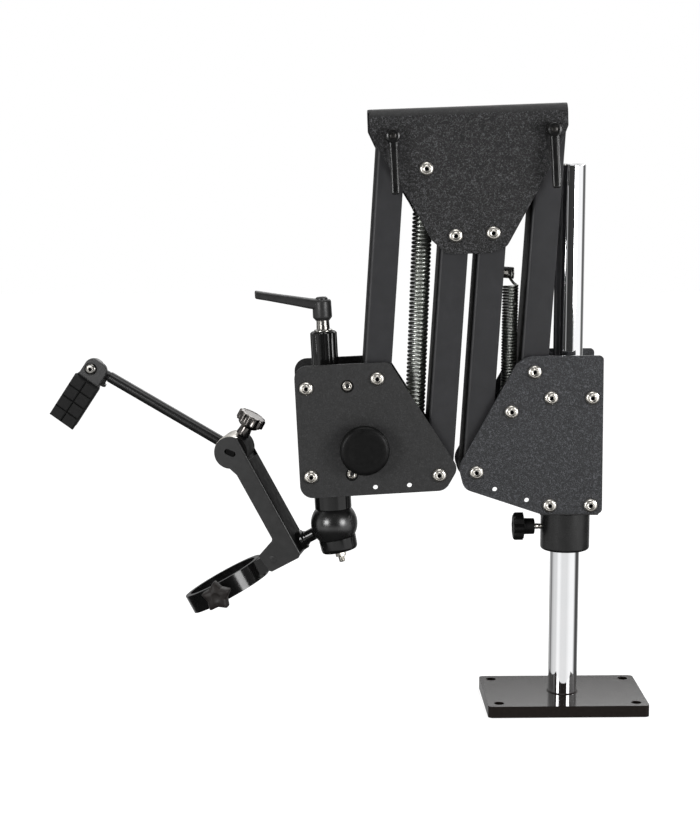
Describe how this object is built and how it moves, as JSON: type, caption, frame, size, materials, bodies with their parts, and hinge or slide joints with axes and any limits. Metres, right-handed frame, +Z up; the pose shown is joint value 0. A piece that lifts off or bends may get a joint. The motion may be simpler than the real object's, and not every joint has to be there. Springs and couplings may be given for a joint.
{
  "type": "microscope arm stand",
  "caption": "Spring-balanced arm stand: twin parallelogram arms on a bolted post carry a swivel spindle, ball joint and tilted clamp ring for a microscope.",
  "frame": {"origin": "centre of the underside of the base plate, on the axis of the post", "axes": "+Z up the post, -X towards the microscope ring, -Y towards the side with the hand knob and the clamp levers"},
  "size_m": [0.6169, 0.1224, 0.6192],
  "materials": {
    "black_plastic": "matte",
    "black_powder_coat": "coarse wrinkle powder coat",
    "black_rubber": "matte",
    "bright_steel": "machined",
    "gloss_black_paint": "gloss",
    "gloss_black_plastic": "gloss",
    "polished_chrome": "mirror polish",
    "satin_black_paint": "satin",
    "spring_steel": "drawn wire"
  },
  "bodies": {
    "base": {"base_plate": "gloss_black_paint", "post": "polished_chrome"},
    "collar": {"stop_collar": "satin_black_paint"},
    "collar_knob": {"collar_knob": "black_plastic"},
    "right_head": {"right_front_plate": "black_powder_coat", "right_rear_plate": "black_powder_coat", "lower_post_bush": "satin_black_paint", "upper_post_bush": "satin_black_paint", "lower_post_bush_bolt_left": "bright_steel", "lower_post_bush_bolt_right": "bright_steel", "upper_post_bush_bolt_left": "bright_steel", "upper_post_bush_bolt_right": "bright_steel", "right_outer_pivot_bolt": "bright_steel", "right_inner_pivot_bolt": "bright_steel", "right_spring_anchor": "bright_steel", "right_spring": "spring_steel"},
    "right_outer_arm": {"right_outer_arm": "satin_black_paint"},
    "right_inner_arm": {"right_inner_arm": "satin_black_paint", "right_spring_hook": "bright_steel"},
    "saddle": {"saddle": "black_powder_coat", "saddle_right_pivot_bolt": "bright_steel", "saddle_left_pivot_bolt": "bright_steel", "left_spring_anchor": "bright_steel", "left_clamp_stud": "bright_steel", "right_clamp_stud": "bright_steel", "left_spring": "spring_steel"},
    "left_clamp_lever": {"left_clamp_lever": "black_plastic"},
    "right_clamp_lever": {"right_clamp_lever": "black_plastic"},
    "left_outer_arm": {"left_outer_arm": "satin_black_paint"},
    "left_inner_arm": {"left_inner_arm": "satin_black_paint", "left_spring_hook": "bright_steel"},
    "left_head": {"left_front_plate": "black_powder_coat", "left_rear_plate": "black_powder_coat", "lower_spindle_bush": "satin_black_paint", "upper_spindle_bush": "satin_black_paint", "lower_spindle_bush_bolt_left": "bright_steel", "lower_spindle_bush_bolt_right": "bright_steel", "upper_spindle_bush_bolt_left": "bright_steel", "upper_spindle_bush_bolt_right": "bright_steel", "left_outer_pivot_bolt": "bright_steel", "left_inner_pivot_bolt": "bright_steel", "spindle_sleeve": "gloss_black_paint"},
    "hand_knob": {"hand_knob": "gloss_black_plastic"},
    "spindle": {"spindle": "gloss_black_paint"},
    "spindle_lever": {"spindle_lever": "black_plastic"},
    "ball": {"ball": "gloss_black_paint", "ball_cap": "gloss_black_paint", "ball_stud": "bright_steel", "side_stem": "satin_black_paint"},
    "carrier": {"bracket": "satin_black_paint", "microscope_ring": "gloss_black_paint", "lug_screw": "satin_black_paint"},
    "ring_knob": {"ring_knob": "black_plastic"},
    "grip_hinge": {"handle_barrel": "bright_steel"},
    "handle_knob": {"handle_knob": "gloss_black_plastic"},
    "handle_rod": {"handle_rod": "gloss_black_paint", "paddle_screw": "bright_steel"},
    "paddle": {"paddle_plate": "satin_black_paint", "paddle_pad": "black_rubber"}
  },
  "joints": [
    {"name": "collar_height", "type": "slide", "parent": "base", "child": "collar", "axis": [0, 0, 1], "range_m": [-0.045, 0.15]},
    {"name": "collar_knob_turn", "type": "hinge", "parent": "collar", "child": "collar_knob", "pos_m": [-0.048, 0, 0.1877], "axis": [-1, 0, 0], "continuous": true},
    {"name": "head_swivel", "type": "hinge", "parent": "collar", "child": "right_head", "pos_m": [0, 0, 0.216], "axis": [0, 0, 1], "continuous": true},
    {"name": "right_arm_swing", "type": "hinge", "parent": "right_head", "child": "right_outer_arm", "pos_m": [-0.0377, 0, 0.3522], "axis": [0, -1, 0], "range_deg": [0, 55]},
    {"name": "right_inner_swing", "type": "hinge", "parent": "right_head", "child": "right_inner_arm", "pos_m": [-0.0953, 0, 0.2503], "axis": [0, -1, 0], "range_deg": [0, 55], "deforming": ["right_spring"]},
    {"name": "saddle_level", "type": "hinge", "parent": "right_outer_arm", "child": "saddle", "pos_m": [-0.02318, 0, 0.59306], "axis": [0, -1, 0], "range_deg": [-55, 0]},
    {"name": "left_lever_turn", "type": "hinge", "parent": "saddle", "child": "left_clamp_lever", "pos_m": [-0.18118, 0, 0.58676], "axis": [0, -1, 0], "range_deg": [-60, 30]},
    {"name": "right_lever_turn", "type": "hinge", "parent": "saddle", "child": "right_clamp_lever", "pos_m": [-0.02318, 0, 0.59306], "axis": [0, -1, 0], "range_deg": [-60, 30]},
    {"name": "left_arm_swing", "type": "hinge", "parent": "saddle", "child": "left_outer_arm", "pos_m": [-0.18118, 0, 0.58676], "axis": [0, 1, 0], "range_deg": [0, 80]},
    {"name": "left_inner_swing", "type": "hinge", "parent": "saddle", "child": "left_inner_arm", "pos_m": [-0.11818, 0, 0.48856], "axis": [0, 1, 0], "range_deg": [0, 80], "deforming": ["left_spring"]},
    {"name": "left_head_level", "type": "hinge", "parent": "left_outer_arm", "child": "left_head", "pos_m": [-0.1957, 0, 0.3459], "axis": [0, 1, 0], "range_deg": [-80, 0]},
    {"name": "hand_knob_turn", "type": "hinge", "parent": "left_head", "child": "hand_knob", "pos_m": [-0.20847, -0.05, 0.27544], "axis": [0, -1, 0], "continuous": true},
    {"name": "spindle_swivel", "type": "hinge", "parent": "left_head", "child": "spindle", "pos_m": [-0.24381, 0, 0.29175], "axis": [-0.0541, 0, 0.9985], "range_deg": [-65, 85]},
    {"name": "spindle_lever_turn", "type": "hinge", "parent": "spindle", "child": "spindle_lever", "pos_m": [-0.25003, 0, 0.40658], "axis": [-0.0541, 0, 0.9985], "range_deg": [-60, 60]},
    {"name": "ball_tilt", "type": "hinge", "parent": "spindle", "child": "ball", "pos_m": [-0.2384, 0, 0.1919], "axis": [-0.1854, -0.9826, -0.01], "range_deg": [-14, 10]},
    {"name": "carrier_roll", "type": "hinge", "parent": "ball", "child": "carrier", "pos_m": [-0.27273, 0.00668, 0.17248], "axis": [0.8582, -0.1669, 0.4855], "range_deg": [-50, 50]},
    {"name": "ring_knob_turn", "type": "hinge", "parent": "carrier", "child": "ring_knob", "pos_m": [-0.35714, -0.0339, 0.12443], "axis": [-0.1854, -0.9826, -0.01], "continuous": true},
    {"name": "grip_tilt", "type": "hinge", "parent": "carrier", "child": "grip_hinge", "pos_m": [-0.34089, 0.01858, 0.26617], "axis": [-0.1854, -0.9826, -0.01], "range_deg": [-12, 18]},
    {"name": "handle_knob_turn", "type": "hinge", "parent": "grip_hinge", "child": "handle_knob", "pos_m": [-0.32667, 0.01563, 0.29241], "axis": [0.4741, -0.0984, 0.875], "continuous": true},
    {"name": "rod_turn", "type": "hinge", "parent": "grip_hinge", "child": "handle_rod", "pos_m": [-0.39254, 0.02803, 0.29521], "axis": [-0.8607, 0.1575, 0.4841], "range_deg": [-90, 90]},
    {"name": "paddle_tilt", "type": "hinge", "parent": "handle_rod", "child": "paddle", "pos_m": [-0.4867, 0.04525, 0.34817], "axis": [-0.1854, -0.9826, -0.01], "range_deg": [-30, 30]}
  ],
  "couplings": [
    {"joint": "right_inner_swing", "follows": "right_arm_swing", "ratio": 1},
    {"joint": "saddle_level", "follows": "right_arm_swing", "ratio": -1},
    {"joint": "left_inner_swing", "follows": "left_arm_swing", "ratio": 1},
    {"joint": "left_head_level", "follows": "left_arm_swing", "ratio": -1}
  ]
}
